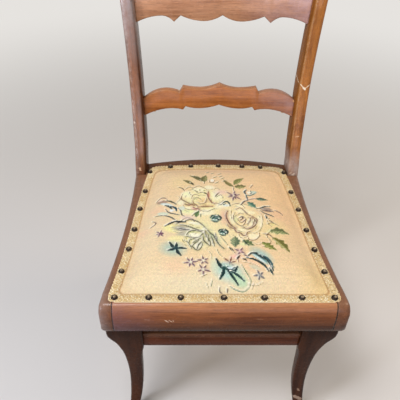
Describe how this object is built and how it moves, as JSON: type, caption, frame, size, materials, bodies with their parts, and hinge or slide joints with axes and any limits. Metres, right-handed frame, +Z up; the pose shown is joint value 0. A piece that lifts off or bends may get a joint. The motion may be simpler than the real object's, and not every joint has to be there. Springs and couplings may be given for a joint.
{
  "type": "dining chair",
  "caption": "Wooden side chair with scalloped crest and mid rails, a rolled seat frame, ogee front legs and an upholstered needlepoint seat.",
  "frame": {"origin": "on the floor under the middle of the chair's footprint box", "axes": "+Z up, +Y towards the back, +X towards the chair's right side as seen from the front"},
  "size_m": [0.47, 0.5, 0.862],
  "materials": {
    "mahogany": "worn satin varnish over reddish-brown stain",
    "beech": "raw",
    "screw_steel": "dull",
    "jute_webbing": "woven jute with a dark stripe",
    "blued_tacks": "blued",
    "hessian": "plain woven",
    "cotton_felt": "matted",
    "needlepoint": "wool tent stitch with a rose bouquet",
    "gold_gimp": "scalloped braid",
    "antique_bronze": "antiqued, worn bright on the domes"
  },
  "bodies": {
    "root": {"rear_post_left": "mahogany", "rear_post_right": "mahogany", "crest_rail": "mahogany", "mid_rail": "mahogany", "rear_seat_rail": "mahogany", "side_rail_left": "mahogany", "side_rail_right": "mahogany", "front_rail": "mahogany", "lower_front_rail": "mahogany", "front_leg_left": "mahogany", "front_leg_right": "mahogany", "corner_block_front_left": "beech", "corner_block_front_right": "beech", "corner_block_rear_left": "beech", "corner_block_rear_right": "beech", "corner_block_screws": "screw_steel", "crest_rail_dowels": "beech", "mid_rail_dowels": "beech", "rear_rail_dowels": "beech", "side_rail_dowels": "beech", "front_rail_dowels": "beech", "leg_dowels": "beech", "lower_rail_dowels": "beech", "webbing_front_to_back": "jute_webbing", "webbing_side_to_side": "jute_webbing", "webbing_tacks": "blued_tacks", "hessian_sheet": "hessian", "seat_stuffing": "cotton_felt", "needlepoint_cover": "needlepoint", "gimp_braid": "gold_gimp", "decorative_nails": "antique_bronze"}
  },
  "joints": []
}
